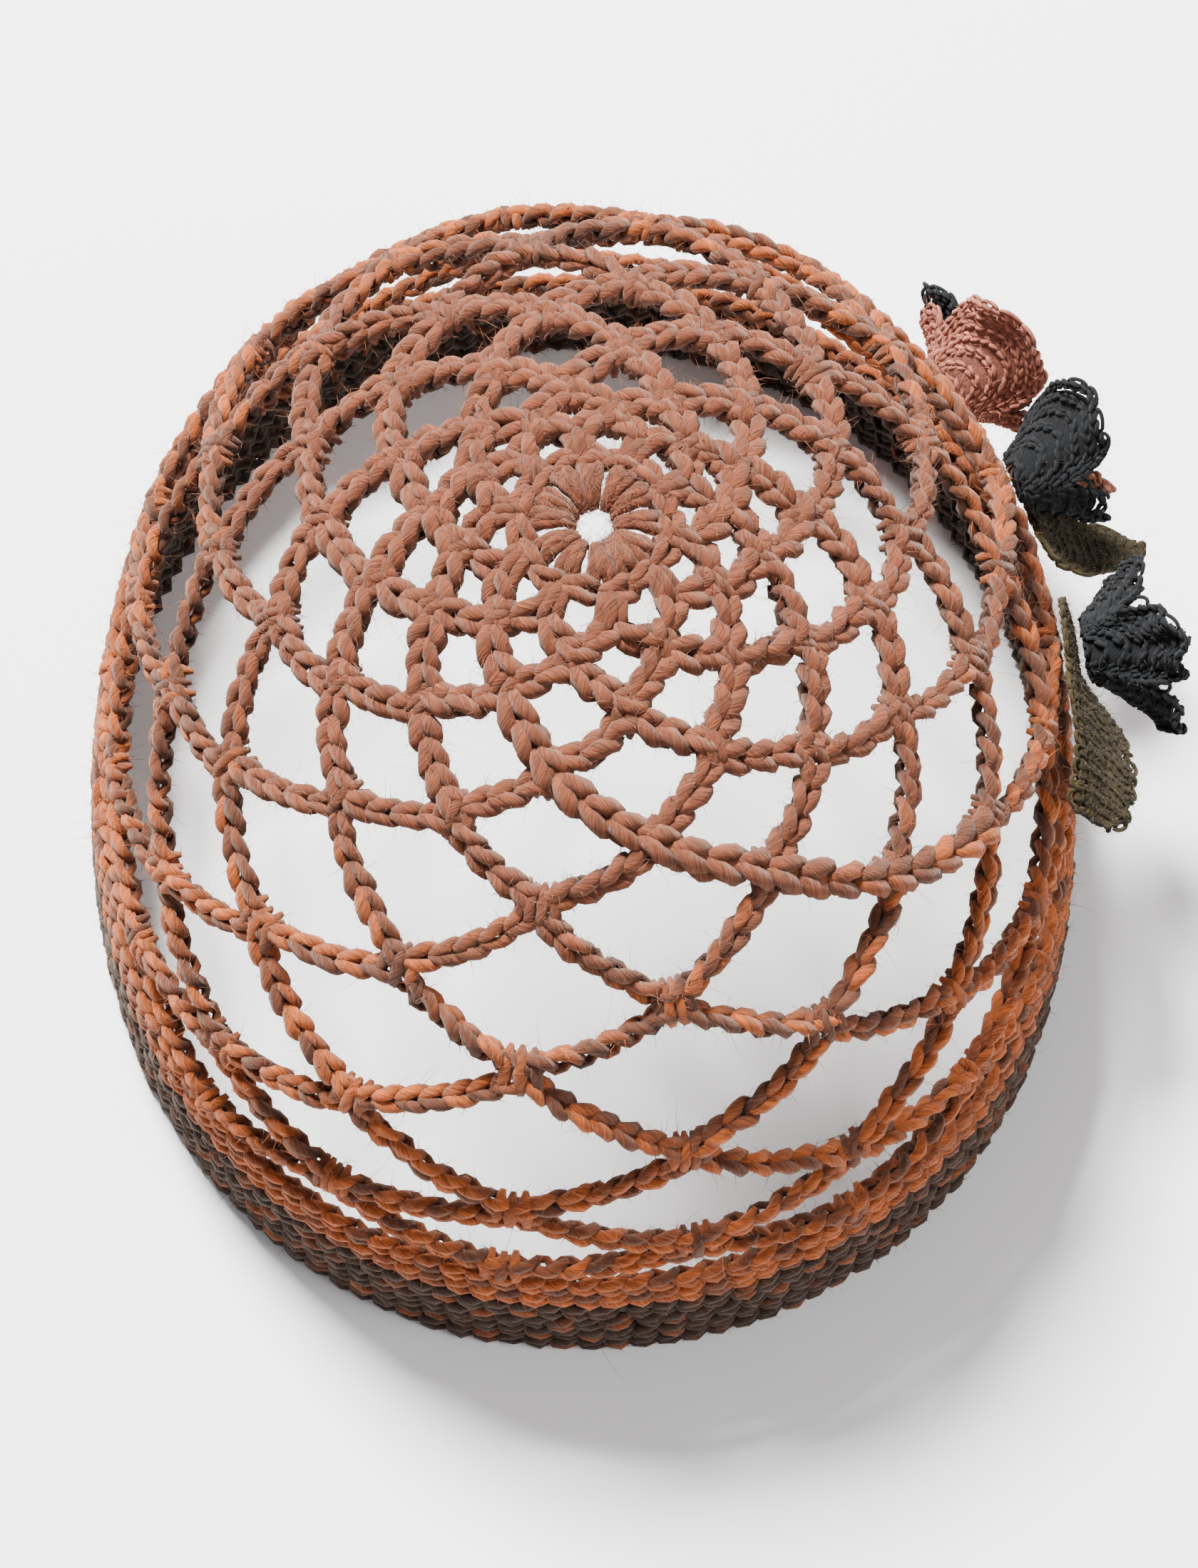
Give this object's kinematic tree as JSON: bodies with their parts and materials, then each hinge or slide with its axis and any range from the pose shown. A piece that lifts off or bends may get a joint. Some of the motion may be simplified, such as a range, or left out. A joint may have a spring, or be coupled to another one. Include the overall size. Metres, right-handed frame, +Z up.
{
  "type": "crochet flapper hat",
  "caption": "Close-fitting crochet cap with an open diamond net crown, a centre rosette, a dense rim band and a spray of layered flowers and leaves on one side.",
  "frame": {"origin": "middle of the hat's extent, flowers included, at the level of the rim's underside", "axes": "+Z up through the crown, +Y towards the wearer's front, +X towards the side with the flowers"},
  "size_m": [0.1838, 0.193, 0.1117],
  "materials": {
    "crown_yarn": "matte plied yarn, dusty rose-brown",
    "net_yarn": "matte plied yarn, rose-brown to rust",
    "band_yarn": "matte plied yarn, taupe",
    "rose_yarn": "matte fine yarn, brick rose",
    "slate_yarn": "matte fine yarn, slate",
    "blush_yarn": "matte fine yarn, blush beige",
    "olive_yarn": "matte fine yarn, olive"
  },
  "bodies": {
    "root": {"crown_rosette": "crown_yarn", "crown_net": "net_yarn", "rim_band": "band_yarn", "front_flower_outer": "rose_yarn", "front_flower_inner": "slate_yarn", "middle_flower_outer": "slate_yarn", "middle_flower_inner": "blush_yarn", "side_flower": "slate_yarn", "leaf_front": "olive_yarn", "leaf_back": "olive_yarn"}
  },
  "joints": []
}
